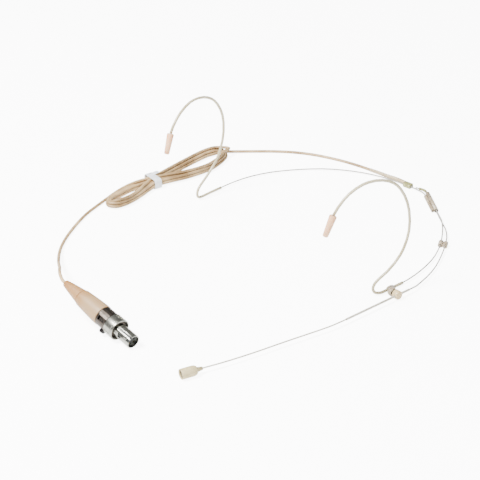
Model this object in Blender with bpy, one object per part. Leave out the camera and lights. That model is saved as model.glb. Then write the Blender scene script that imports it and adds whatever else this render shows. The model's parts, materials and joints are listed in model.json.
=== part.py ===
"""Double ear-hook headset microphone, lying on a table with its cord folded into a hank.

The wearer faces -Y, the wearer's left is +X and +Z is up. The origin is at the middle of the
headset's footprint on the table. Sizes are in millimetres and become metres in metres().
"""

from math import atan2, ceil, cos, pi, radians, sin

import bmesh
import bpy
from mathutils import Matrix, Vector

# Fits
GAP = 0.3                  # between pieces that touch
RUNNING = 0.08             # radial clearance of a shaft, wire or tube in its bore

# Frame wires and ear hooks
HOOK_SPAN = 146.6          # between the two lower bends
HOOK_RISE = 63.7           # from the lower bend to the top of the hook
MIDDLE_X = -3.5            # the hooks' plane of symmetry
BEND_Y = 10.0
WIRE_R = 0.4
SLEEVE_WALL = 0.32
SLEEVE_R = WIRE_R + RUNNING + SLEEVE_WALL
SLEEVE_TAIL = 15.5         # of sleeve behind the lower bend
TIP_LENGTH = 11.6
TIP_TOP_R = 2.0
TIP_END_R = 1.5
TIP_WIRE_DEPTH = 8.0

# Nape adjuster: a two-barrel slider, with its axis in the table's plane
ADJUSTER_MIDDLE = (16.4, 104.4)
ADJUSTER_ANGLE = -33.5     # degrees from +X
ADJUSTER_HALF = 11.0
ADJUSTER_SHORT = 3.5       # by which the inner barrel is shorter at its upper end
BARREL_WALL = 0.3
CABLE_R = 0.4              # of the microphone's thin lead
OUTER_BORE_R = 2 * WIRE_R + RUNNING * 2.5
OUTER_BARREL_R = OUTER_BORE_R + BARREL_WALL
INNER_BARREL_R = WIRE_R + RUNNING + BARREL_WALL + 0.17
BARREL_OVERLAP = 0.15      # of the two barrels' walls where they are moulded together
WIRE_STACK = WIRE_R + RUNNING / 2   # of the left wire above, and the cable below, the bore's axis

# Clips on the band
NAPE_CLIP = (5.4, 3.6)     # length, width
NAPE_CLIP_AT = (-7.4, 110.7)
CABLE_CLIP_LENGTH = 4.0
CABLE_CLIP_WALL = 0.85
CABLE_CLIP_STAGGER = 0.7
NAPE_SLEEVE_R = 0.8

BAND_SPAN = 146.6          # the hook span for which the band's points below are laid out

# Boom, its pivot and its clip
KNOB_Y = 14.2
KNOB_R = 2.35
KNOB_Z = KNOB_R + 0.25
KNOB_LENGTH = 3.4
BOOM_ASIDE = 8.85          # of the boom outside the left wire
BOOM_WALL = 0.12
BOOM_R = CABLE_R + RUNNING + BOOM_WALL
BOOM_REAR = 8.2            # of boom tube behind the pivot
BOOM_FRONT = 36.2          # of boom tube in front of the pivot
BOOM_THIN_R = BOOM_R - BOOM_WALL - RUNNING
BOOM_THIN_WALL = 0.13
BOOM_OVERLAP = 4.0         # of the thin tube inside the thick one
LEAD_DEPTH = 10.0          # of the lead inside the boom tube
KNOB_FACE_WALL = 0.55
PIN_R = 0.55
PIN_IN_CLIP = 1.7
WASHER_THICKNESS = 0.4
CLIP_DISC = 1.5            # thickness of the clip's round end
CLIP_LENGTH = 5.0          # along the wire
CLIP_SLOT = (1.4, 0.7)     # width and height
CLIP_SLOT_END = 1.8        # behind the pivot's axis

# Microphone capsule
CAPSULE_R = 2.65
CAPSULE_LENGTH = 8.5
CAPSULE_NECK = 2.8
CAPSULE_WALL = 0.35
GRILLE_DEPTH = 0.7
ELECTRET_LENGTH = 3.8

# Cord
CORD_R = 0.9
HANK_HEIGHT = 5.9
HANK_WAIST = 11.8
TIE_WIDTH = 4.6
TIE_THICKNESS = 0.5
HANK_LOW = TIE_THICKNESS + GAP + 0.05
RELIEF_R = (1.35, 1.1)

# Plug
CONE_LENGTH = 13.4
CONE_R = (1.9, 4.1)
HANDLE_LENGTH = 17.2
HANDLE_R = (4.5, 5.5)
HANDLE_WALL = 0.8
BODY_LENGTH = 6.3
BODY_R = 5.3
BODY_WALL = 0.6
RING_LENGTH = 6.2
RING_R = 5.7
RING_WALL = 0.9
NOSE_LENGTH = 10.5
NOSE_R = 3.6
NOSE_WALL = 0.45
BUTTON_R = 1.6
BUTTON_PROUD = 1.8
BUTTON_ANGLE = 227.0       # round the plug, from level towards up
BUTTON_AT = CONE_LENGTH + HANDLE_LENGTH + 2 * GAP + BODY_LENGTH - BUTTON_R - 0.25
LEVER = (2.2, 3.4)         # width and length of the latch's lever
SLOT = (1.2, 4.4)          # width and length of the body's slot
SLOT_FOOT = 2.4            # length round the plug of its short leg
SLOT_ANGLE = 156.0
WINDOW = 2.3
WINDOW_AT = 3.5            # in front of the ring
WINDOW_ANGLE = 168.0
GROOVE_ANGLE = 120.0
NOTCH = (1.3, 2.0)         # width and depth of the nose's keying notch
NOTCH_ANGLE = 150.0
CONTACT_CIRCLE_R = 1.55
CONTACT_R = 0.5
CONTACTS = 4
PLUG_AT = (17.9, -115.4)   # the middle of the ring's front face, above the table
PLUG_HEADING = 2.7         # degrees from +X

# The ear hook, from the lower bend up to the ear: outward x, y and height from the bend
HOOK_ROUTE = [
    (0.3, 1.2, 0.0), (-0.6, -2.0, 1.1), (-1.0, -3.0, 3.4), (-0.8, -2.0, 6.1), (-0.1, 1.4, 8.9),
    (0.9, 6.6, 12.1), (1.7, 14.2, 19.4), (1.8, 18.6, 29.2), (1.1, 19.4, 39.7), (0.1, 17.0, 49.5),
    (-0.9, 11.0, 58.2), (-2.3, 2.6, 62.8), (-4.1, -7.4, 63.7), (-5.9, -16.2, 60.4),
    (-7.0, -22.0, 55.4), (-7.7, -25.4, 50.6),
]
TIP_DIRECTION = (-0.108, -0.368, -0.924)

# The band on each side, from behind the bend to the nape
LEFT_BAND = [
    (70.6, 14.6, 1.1), (70.75, 18.3, 1.2), (70.8, 22.0, 1.25), (70.7, 28.0, 1.25), (69.6, 36.5, 1.3),
    (67.4, 46.0, 1.35), (63.4, 57.5, 1.4), (59.0, 65.8, 1.4), (54.9, 72.2, 1.45),
    (49.6, 79.0, 1.6), (43.4, 86.0, 1.75),
]
RIGHT_BAND = [
    (-77.6, 16.0, 0.95), (-78.2, 25.0, 1.1), (-78.9, 35.6, 1.2), (-78.4, 47.0, 1.2),
    (-75.2, 60.0, 1.2), (-70.1, 70.6, 1.2), (-64.0, 80.2, 1.2), (-56.8, 89.0, 1.2),
    (-48.0, 96.4, 1.2), (-38.6, 102.2, 1.2), (-29.6, 106.0, 1.2), (-21.5, 108.2, 1.2),
    (-13.9, 109.5, 1.25), (-7.4, 110.0, 1.3), (0.0, 110.6, 1.3),
]
CABLE_FRONT = [
    (79.0, 28.5, 2.2), (76.9, 34.6, 1.6), (74.2, 43.0, 1.4), (70.4, 52.0, 1.4), (65.6, 60.6, 1.4),
]
CABLE_REAR = [(52.2, 79.9, 1.3), (45.6, 86.4, 0.95)]
NAPE_ROUTE = [(-2.2, 111.9, 1.3), (0.8, 112.6, 1.3), (3.4, 113.0, 1.3)]
# The thin tube in front of the step, as distances inwards and forwards from it
BOOM_ROUTE = [
    (0.4, 10.0), (1.4, 17.5), (2.7, 25.6), (4.1, 34.3), (5.3, 42.5), (6.7, 52.4), (8.4, 62.2),
    (10.2, 71.0),
]
CAPSULE_REAR = (13.3, 83.9)
CAPSULE_FRONT_DIRECTION = (-0.223, -0.975)
RELIEF_ROUTE = [(-16.5, 111.4, 1.4), (-24.5, 110.4, 1.35), (-32.0, 109.7, 1.25)]
RELIEF_END = (-37.4, 109.2, 1.1)
CORD_IN = [
    (-45.4, 108.2, 0.96), (-55.4, 106.0, 0.96), (-66.0, 102.6, 0.96), (-76.6, 98.0, 0.96),
    (-86.4, 91.8, 0.96), (-95.2, 84.0, 0.96), (-103.0, 75.4, 0.96), (-109.6, 67.0, 0.96),
]
CORD_IN_END = (-113.8, 61.0, 0.96)
CORD_OUT_START = (-109.6, -33.2, 0.96)
CORD_OUT = [
    (-108.6, -37.6, 0.96), (-106.7, -43.4, 0.96), (-103.9, -50.2, 0.96), (-99.4, -58.6, 0.96),
    (-93.6, -67.6, 0.96), (-86.4, -77.4, 0.96), (-79.2, -85.2, 1.3), (-70.6, -92.2, 2.8),
    (-60.4, -99.4, 5.4), (-50.6, -105.8, 8.6), (-43.0, -111.6, 12.2), (-36.4, -115.9, 14.7),
]
HANK_OUTLINE = [
    (-101.5, -38.6), (-96.2, -34.0), (-96.6, -22.5), (-100.8, -11.0), (-103.2, -3.6), (-103.4, 3.0),
    (-101.2, 13.0), (-98.2, 27.0), (-100.0, 38.0), (-104.4, 48.6), (-110.4, 58.0),
    (-116.4, 60.4), (-121.0, 55.4), (-121.6, 44.0), (-119.4, 30.0), (-116.0, 15.0),
    (-113.8, 3.4), (-113.4, -3.6), (-113.0, -11.0), (-111.8, -20.0), (-109.6, -30.0), (-106.4, -37.0),
]
TIE_AT = (-108.5, -0.4)
TIE_ANGLE = -6.0           # degrees from +X to the tie's long side


def metres(value):
    if isinstance(value, (int, float)):
        return value * 0.001
    return Vector(value) * 0.001


def material(name, colour, roughness, metallic=0.0):
    found = bpy.data.materials.get(name)
    if found:
        return found
    made = bpy.data.materials.new(name)
    made.use_nodes = True
    shader = made.node_tree.nodes["Principled BSDF"]
    shader.inputs["Base Color"].default_value = (*colour, 1.0)
    shader.inputs["Roughness"].default_value = roughness
    shader.inputs["Metallic"].default_value = metallic
    made.diffuse_color = (*colour, 1.0)
    return made


def place_object(name, data, finish, place=None, parent=None):
    made = bpy.data.objects.new(name, data)
    bpy.context.scene.collection.objects.link(made)
    data.materials.append(finish)
    if parent:
        made.parent = parent
    if place:
        made.matrix_local = place
    return made


def finish_mesh(bm, name, finish, place=None, parent=None, sharp=40):
    """Makes the object of a bmesh in metres, with its faces outwards."""
    bmesh.ops.remove_doubles(bm, verts=bm.verts, dist=1e-8)
    bmesh.ops.recalc_face_normals(bm, faces=bm.faces)
    mesh = bpy.data.meshes.new(name)
    bm.to_mesh(mesh)
    bm.free()
    mesh.shade_smooth()
    mesh.set_sharp_from_angle(angle=radians(sharp))
    return place_object(name, mesh, finish, place, parent)


def smooth_curve(points, steps=24):
    """Dense points on a centripetal Catmull-Rom curve through the given points."""
    points = [Vector(point) for point in points]
    first = points[0] * 2 - points[1]
    last = points[-1] * 2 - points[-2]
    padded = [first, *points, last]
    dense = []
    for a, b, c, d in zip(padded, padded[1:], padded[2:], padded[3:]):
        t1 = (b - a).length ** 0.5
        t2 = t1 + (c - b).length ** 0.5
        t3 = t2 + (d - c).length ** 0.5
        for step in range(steps):
            t = t1 + (t2 - t1) * step / steps
            ab = a.lerp(b, t / t1)
            bc = b.lerp(c, (t - t1) / (t2 - t1))
            cd = c.lerp(d, (t - t2) / (t3 - t2))
            abc = ab.lerp(bc, t / t2)
            bcd = bc.lerp(cd, (t - t1) / (t3 - t1))
            dense.append(abc.lerp(bcd, (t - t1) / (t2 - t1)))
    dense.append(points[-1])
    return dense


def thinned(dense, turn=9.0, longest=6.0):
    """Keeps a point wherever the curve has turned by some degrees or run for some millimetres."""
    kept = [dense[0]]
    heading = (dense[1] - dense[0]).normalized()
    for here, after in zip(dense[1:], dense[2:]):
        step = (after - here).normalized()
        if heading.angle(step) > radians(turn) or (here - kept[-1]).length > longest:
            kept.append(here)
            heading = step
    kept.append(dense[-1])
    return kept


def even(dense, spacing):
    """Points at an even spacing along the dense curve, with both of its ends."""
    lengths = [0.0]
    for a, b in zip(dense, dense[1:]):
        lengths.append(lengths[-1] + (b - a).length)
    count = max(2, ceil(lengths[-1] / spacing) + 1)
    found = []
    index = 0
    for number in range(count):
        want = lengths[-1] * number / (count - 1)
        while index < len(dense) - 2 and lengths[index + 1] < want:
            index += 1
        share = (want - lengths[index]) / max(1e-9, lengths[index + 1] - lengths[index])
        found.append(dense[index].lerp(dense[index + 1], min(1.0, share)))
    return found


def from_length(dense, start=0.0, end=None):
    """The stretch of the dense curve between two lengths along it."""
    found = []
    run = 0.0
    for a, b in zip(dense, dense[1:]):
        step = (b - a).length
        if not found and run + step >= start:
            found.append(a.lerp(b, (start - run) / step))
        if end is not None and run + step >= end:
            found.append(a.lerp(b, (end - run) / step))
            return found
        if found:
            found.append(b)
        run += step
    return found


def rings_along(path, radii, sides):
    """Rings of points across the path, carried along it without twisting."""
    ahead = [(b - a).normalized() for a, b in zip(path, path[1:])]
    tangents = [ahead[0], *[(a + b).normalized() for a, b in zip(ahead, ahead[1:])], ahead[-1]]
    up = tangents[0].orthogonal().normalized()
    rings = []
    for centre, tangent, radius in zip(path, tangents, radii):
        up = (up - tangent * up.dot(tangent)).normalized()
        side = tangent.cross(up)
        turns = [2 * pi * number / sides for number in range(sides)]
        rings.append([centre + (up * cos(turn) + side * sin(turn)) * radius for turn in turns])
    return rings


def bridge(bm, rings, close=False):
    """Joins each ring of vertices to the next one with faces."""
    pairs = list(zip(rings, rings[1:]))
    if close:
        pairs.append((rings[-1], rings[0]))
    for low, high in pairs:
        for number, vertex in enumerate(low):
            after = (number + 1) % len(low)
            bm.faces.new((vertex, low[after], high[after], high[number]))


def tube(name, path, radius, finish, bore=None, sides=8):
    """A solid rod along the path, or a hollow tube where a bore is given."""
    bm = bmesh.new()
    count = len(path)

    def vertices(size):
        radii = size if isinstance(size, list) else [size] * count
        rings = rings_along(path, radii, sides)
        return [[bm.verts.new(metres(point)) for point in ring] for ring in rings]

    outer = vertices(radius)
    if bore:
        bridge(bm, outer + vertices(bore)[::-1], close=True)
    else:
        bridge(bm, outer)
        bm.faces.new(outer[0])
        bm.faces.new(outer[-1])
    return finish_mesh(bm, name, finish)


def cord(name, path, radius, finish):
    """A cord as a round curve with filled ends."""
    data = bpy.data.curves.new(name, "CURVE")
    data.dimensions = "3D"
    data.bevel_depth = metres(radius)
    data.bevel_resolution = 2
    data.use_fill_caps = True
    spline = data.splines.new("POLY")
    spline.points.add(len(path) - 1)
    for point, place in zip(spline.points, path):
        point.co = (*metres(place), 1.0)
    return place_object(name, data, finish)


def turned(name, outline, finish, place=None, parent=None, sides=24, hollow=False, sharp=40):
    """Turns an outline of (radius, height) about Z: a closed one for a hollow piece."""
    bm = bmesh.new()
    verts = [bm.verts.new(metres((radius, 0, height))) for radius, height in outline]
    joined = list(zip(verts, verts[1:]))
    if hollow:
        joined.append((verts[-1], verts[0]))
    edges = [bm.edges.new(pair) for pair in joined]
    bmesh.ops.spin(
        bm, geom=verts + edges, cent=(0, 0, 0), axis=(0, 0, 1), angle=2 * pi, steps=sides
    )
    bmesh.ops.remove_doubles(bm, verts=bm.verts, dist=1e-7)
    bmesh.ops.dissolve_degenerate(bm, edges=bm.edges, dist=1e-7)
    return finish_mesh(bm, name, finish, place, parent, sharp)


def extruded(name, outline, low, high, finish, place=None, parent=None, bevel=0.0):
    """Extrudes a flat outline from one height to another, and rounds its edges."""
    bm = bmesh.new()
    face = bm.faces.new([bm.verts.new(metres((x, y, low))) for x, y in outline])
    top = bmesh.ops.extrude_face_region(bm, geom=[face])["geom"]
    risen = [item for item in top if isinstance(item, bmesh.types.BMVert)]
    bmesh.ops.translate(bm, verts=risen, vec=metres((0, 0, high - low)))
    made = finish_mesh(bm, name, finish, place, parent)
    if bevel:
        rounding = made.modifiers.new("rounded_edges", "BEVEL")
        rounding.width = metres(bevel)
        rounding.segments = 2
        rounding.limit_method = "ANGLE"
        rounding.angle_limit = radians(50)
    return made


def lofted(name, rings, finish):
    """A solid through a row of rings that all have the same number of points."""
    bm = bmesh.new()
    rings = [[bm.verts.new(metres(point)) for point in ring] for ring in rings]
    bridge(bm, rings)
    bm.faces.new(rings[0])
    bm.faces.new(rings[-1])
    return finish_mesh(bm, name, finish)


def cut(target, cutter, operation="DIFFERENCE"):
    """Cuts the cutter out of the target, and keeps the cutter out of the render."""
    cutter.hide_render = True
    cutter.display_type = "WIRE"
    made = target.modifiers.new(cutter.name, "BOOLEAN")
    made.operation = operation
    made.solver = "EXACT"
    made.object = cutter


def rod(name, start, end, radius, parent=None, sides=16):
    """A helper cylinder between two points."""
    start = Vector(start)
    end = Vector(end)
    place = Matrix.Translation(metres(start)) @ towards(end - start)
    outline = [(0, 0), (radius, 0), (radius, (end - start).length), (0, (end - start).length)]
    return turned(name, outline, HELPER, place, parent, sides)


def block(name, size, place, parent=None):
    """A helper box of a given size about a place."""
    wide, deep = size[0] / 2, size[1] / 2
    outline = [(-wide, -deep), (wide, -deep), (wide, deep), (-wide, deep)]
    return extruded(name, outline, -size[2] / 2, size[2] / 2, HELPER, place, parent)


def towards(direction):
    """The turn that brings +Z to a direction."""
    return Vector(direction).to_track_quat("Z", "Y").to_matrix().to_4x4()


def circle(radius, middle, first, second, sides=20):
    """Points round a circle in the plane of two directions."""
    middle, first, second = Vector(middle), Vector(first), Vector(second)
    turns = [2 * pi * number / sides for number in range(sides)]
    return [middle + first * (radius * cos(turn)) + second * (radius * sin(turn)) for turn in turns]


for old in list(bpy.data.objects):
    bpy.data.objects.remove(old)

HELPER = material("helper", (0.5, 0.5, 0.5), 0.5)
STEEL = material("painted_wire", (0.62, 0.60, 0.55), 0.4, 0.2)
SLEEVE = material("sleeve_vinyl", (0.74, 0.72, 0.66), 0.45)
TIP = material("tip_rubber", (0.90, 0.71, 0.56), 0.5)
CLIP = material("clip_plastic", (0.50, 0.43, 0.34), 0.4)
CLEAR = material("clear_vinyl", (0.72, 0.72, 0.56), 0.3)
CREAM = material("knob_plastic", (0.83, 0.75, 0.58), 0.4)
CAPSULE = material("capsule_paint", (0.78, 0.72, 0.60), 0.4)
CORD = material("cord_vinyl", (0.74, 0.60, 0.44), 0.45)
BOOT = material("boot_rubber", (0.71, 0.57, 0.42), 0.5)
METAL = material("nickel", (0.55, 0.52, 0.48), 0.25, 1.0)
BLACK = material("black_plastic", (0.03, 0.03, 0.03), 0.4)
GREEN = material("insert_plastic", (0.05, 0.08, 0.06), 0.4)
GOLD = material("gold_plate", (0.85, 0.62, 0.25), 0.25, 1.0)
TIE = material("tie_vinyl", (0.88, 0.89, 0.91), 0.35)

OUTWARD = {"left": 1.0, "right": -1.0}
HOOK_LOW = SLEEVE_R + 0.05

# The adjuster's axes: ALONG it towards the wearer's left and ACROSS it towards the rear
ALONG = Vector((cos(radians(ADJUSTER_ANGLE)), sin(radians(ADJUSTER_ANGLE)), 0))
ACROSS = Vector((-ALONG.y, ALONG.x, 0))
BARREL_Z = OUTER_BARREL_R
ADJUSTER = Vector((*ADJUSTER_MIDDLE, BARREL_Z))
BARREL_PITCH = OUTER_BARREL_R + INNER_BARREL_R - BARREL_OVERLAP
OUTER_AXIS = ADJUSTER + ACROSS * (BARREL_PITCH / 2)
INNER_AXIS = ADJUSTER - ACROSS * (BARREL_PITCH / 2)
LEFT_AXIS = OUTER_AXIS + Vector((0, 0, WIRE_STACK))
CABLE_AXIS = OUTER_AXIS - Vector((0, 0, WIRE_STACK))
STRAIGHT = 13.0            # of straight wire outside each barrel


def hook_point(side, point):
    """A point of the hook's route, set out from that side's lower bend."""
    x, y, z = point
    out = OUTWARD[side]
    rise = HOOK_RISE / max(height for *_, height in HOOK_ROUTE)
    return Vector((MIDDLE_X + out * (HOOK_SPAN / 2 + x), BEND_Y + y, HOOK_LOW + z * rise))


def band_points(side, points):
    """Points of the band, moved outwards with the hooks, and less so towards the nape."""
    spread = OUTWARD[side] * (HOOK_SPAN - BAND_SPAN) / 2
    nape = ADJUSTER_MIDDLE[1]
    moved = []
    for x, y, z in points:
        share = min(1.0, max(0.0, (nape - y) / (nape - BEND_Y)))
        moved.append(Vector((x + spread * share, y, z)))
    return moved


def boom_pivot():
    """Where the boom's axis crosses the axis that it swivels about."""
    return Vector((band_points("left", LEFT_BAND)[1].x + BOOM_ASIDE, KNOB_Y, KNOB_Z))


def capsule_frame():
    """The capsule's own frame: +Z forwards along it from the rear of its shell."""
    inward, forward = CAPSULE_REAR
    pivot = boom_pivot()
    rear = Vector((pivot.x - inward, pivot.y - BOOM_FRONT - forward, CAPSULE_R))
    return Matrix.Translation(metres(rear)) @ towards((*CAPSULE_FRONT_DIRECTION, 0))


def tip_axis(side):
    x, y, z = TIP_DIRECTION
    return Vector((OUTWARD[side] * x, y, z)).normalized()


def wire_route(side):
    """The whole centreline of one frame wire: tip, ear hook, lower bend, band and adjuster."""
    top = hook_point(side, HOOK_ROUTE[-1])
    tip = [top + tip_axis(side) * TIP_WIRE_DEPTH, top + tip_axis(side) * (TIP_WIRE_DEPTH / 2)]
    hook = [hook_point(side, point) for point in HOOK_ROUTE[::-1]]
    if side == "left":
        outside = ADJUSTER_HALF + STRAIGHT
        ends = [LEFT_AXIS + ALONG * outside, LEFT_AXIS + ALONG * (outside - 4), LEFT_AXIS]
        return smooth_curve([*tip, *hook, *band_points(side, LEFT_BAND), *ends])
    outside = ADJUSTER_HALF - ADJUSTER_SHORT + 4
    ends = [INNER_AXIS - ALONG * outside, INNER_AXIS - ALONG * (outside - 3), INNER_AXIS]
    return smooth_curve([*tip, *hook, *band_points(side, RIGHT_BAND), *ends])


def length_to(dense, wanted):
    """How far along the dense curve its nearest point to the wanted one is."""
    nearest = min(range(len(dense)), key=lambda index: (dense[index] - wanted).length)
    return sum((b - a).length for a, b in zip(dense[:nearest], dense[1:nearest + 1]))


def make_side(side):
    """A frame wire, the sleeve that covers its hook and the rubber tip on its end."""
    route = wire_route(side)
    wire = thinned(route)
    tube(f"{side}_wire", wire, WIRE_R, STEEL)
    tail = length_to(route, hook_point(side, HOOK_ROUTE[0])) + SLEEVE_TAIL
    covered = thinned(from_length(route, TIP_WIRE_DEPTH + GAP, tail))
    bore = WIRE_R + RUNNING
    tube(f"{side}_ear_sleeve", covered, SLEEVE_R, SLEEVE, bore=bore)
    top = hook_point(side, HOOK_ROUTE[-1])
    rounding = 0.45
    outline = [
        (bore, 0), (TIP_TOP_R - rounding, 0), (TIP_TOP_R, rounding),
        (TIP_END_R, TIP_LENGTH - rounding), (TIP_END_R - rounding, TIP_LENGTH), (0, TIP_LENGTH),
    ]
    blind = TIP_WIRE_DEPTH + GAP
    outline = [(0, blind), (bore, blind), *outline]
    place = Matrix.Translation(metres(top)) @ towards(tip_axis(side))
    turned(f"{side}_ear_tip", outline, TIP, place, sides=16)


def make_adjuster():
    """Two barrels side by side, with a bore for the left wire and cable and one for the right wire."""
    low = -ADJUSTER_HALF + ADJUSTER_SHORT
    across = Vector((0, 0, 1))
    ends = [OUTER_AXIS + ALONG * (sign * ADJUSTER_HALF) for sign in (-1, 1)]
    sleeve = lofted(
        "adjuster_sleeve", [circle(OUTER_BARREL_R, end, ACROSS, across) for end in ends], CLIP
    )
    inner = rod(
        "adjuster_inner_barrel", INNER_AXIS + ALONG * low, INNER_AXIS + ALONG * ADJUSTER_HALF,
        INNER_BARREL_R, sides=20,
    )
    cut(sleeve, inner, "UNION")
    for name, axis, radius in (
        ("adjuster_outer_bore", OUTER_AXIS, OUTER_BORE_R),
        ("adjuster_inner_bore", INNER_AXIS, WIRE_R + RUNNING),
    ):
        reach = ALONG * (ADJUSTER_HALF + 2)
        cut(sleeve, rod(name, axis - reach, axis + reach, radius))


def make_nape_clip():
    """A moulded clip that holds the right wire beside the end of the cord."""
    place = Vector((*NAPE_CLIP_AT, 0))
    length, width = NAPE_CLIP
    wire = band_points("right", RIGHT_BAND)[-2]
    outline = [(-length / 2, -width / 2), (length / 2, -width / 2)]
    outline += [(length / 2, width / 2), (-length / 2, width / 2)]
    turn = Matrix.Translation(metres(place)) @ Matrix.Rotation(radians(5), 4, "Z")
    clip = extruded("nape_clip", outline, 0.05, 2.75, CLIP, turn, bevel=0.5)
    reach = Vector((length, length * 0.07, 0))
    cut(clip, rod("nape_wire_bore", wire - reach, wire + reach, WIRE_R + RUNNING * 2))
    socket = Vector(NAPE_ROUTE[0])
    cut(clip, rod("nape_lead_bore", socket - reach * 1.6, socket + reach, CABLE_R + RUNNING * 2))


def make_lead():
    """The microphone's thin lead in two lengths, and the clear sleeve between nape and adjuster."""
    pivot = boom_pivot()
    rear = Vector((0, 1, 0))
    in_boom = pivot + rear * (BOOM_REAR - LEAD_DEPTH)
    out_of_boom = pivot + rear * (BOOM_REAR + 1.5)
    left, heading, cable_side = cable_clip_frame()
    through = left + cable_side
    ends = [through - heading * 4, through, through + heading * (CABLE_CLIP_LENGTH / 2)]
    leaving = [in_boom, pivot + rear * BOOM_REAR, out_of_boom]
    front = smooth_curve([*leaving, *band_points("left", CABLE_FRONT), *ends])
    tube("boom_cable_front", thinned(front), CABLE_R, STEEL)
    onward = through + heading * (CABLE_CLIP_LENGTH / 2 + GAP)
    straight = CABLE_AXIS + ALONG * (ADJUSTER_HALF + 12)
    inside = [straight, CABLE_AXIS, CABLE_AXIS - ALONG * (ADJUSTER_HALF - 2)]
    entering = OUTER_AXIS - ALONG * (ADJUSTER_HALF + 1)
    nape = [Vector(point) for point in NAPE_ROUTE[::-1]]
    behind = band_points("left", CABLE_REAR)
    rest = [onward, onward + heading * 3, *behind, *inside, entering, *nape]
    tube("boom_cable_rear", thinned(smooth_curve(rest)), CABLE_R, STEEL)
    cover = smooth_curve([entering, *nape])
    run = sum((b - a).length for a, b in zip(cover, cover[1:]))
    covered = thinned(from_length(cover, 1.4, run - 2.4))
    tube("nape_sleeve", covered, NAPE_SLEEVE_R, CLEAR, bore=CABLE_R + RUNNING)


def cable_clip_frame():
    """The middle of the cable clip's wire bore, the band's heading there and the way to its other bore."""
    before, here, after = band_points("left", LEFT_BAND)[-4:-1]
    heading = (after - before).normalized()
    heading.z = 0
    heading.normalize()
    outward = Vector((heading.y, -heading.x, 0))
    pitch = 2 * (WIRE_R + RUNNING * 2 + CABLE_CLIP_WALL) - 0.2
    return here, heading, outward * pitch - heading * CABLE_CLIP_STAGGER


def make_cable_clip():
    """Two short barrels side by side that hold the lead beside the left wire."""
    here, heading, aside = cable_clip_frame()
    radius = WIRE_R + RUNNING * 2 + CABLE_CLIP_WALL
    up = Vector((0, 0, 1))
    across = up.cross(heading)
    half = heading * (CABLE_CLIP_LENGTH / 2)
    rings = [circle(radius, here + half * sign, across, up, 16) for sign in (-1, 1)]
    clip = lofted("cable_clip", rings, SLEEVE)
    other = here + aside
    cut(clip, rod("cable_clip_barrel", other - half, other + half, radius), "UNION")
    bore = WIRE_R + RUNNING * 2
    cut(clip, rod("cable_clip_wire_bore", here - half * 3, here + half * 3, bore))
    cut(clip, rod("cable_clip_lead_bore", other - half * 3, other + half * 3, bore))


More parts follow.
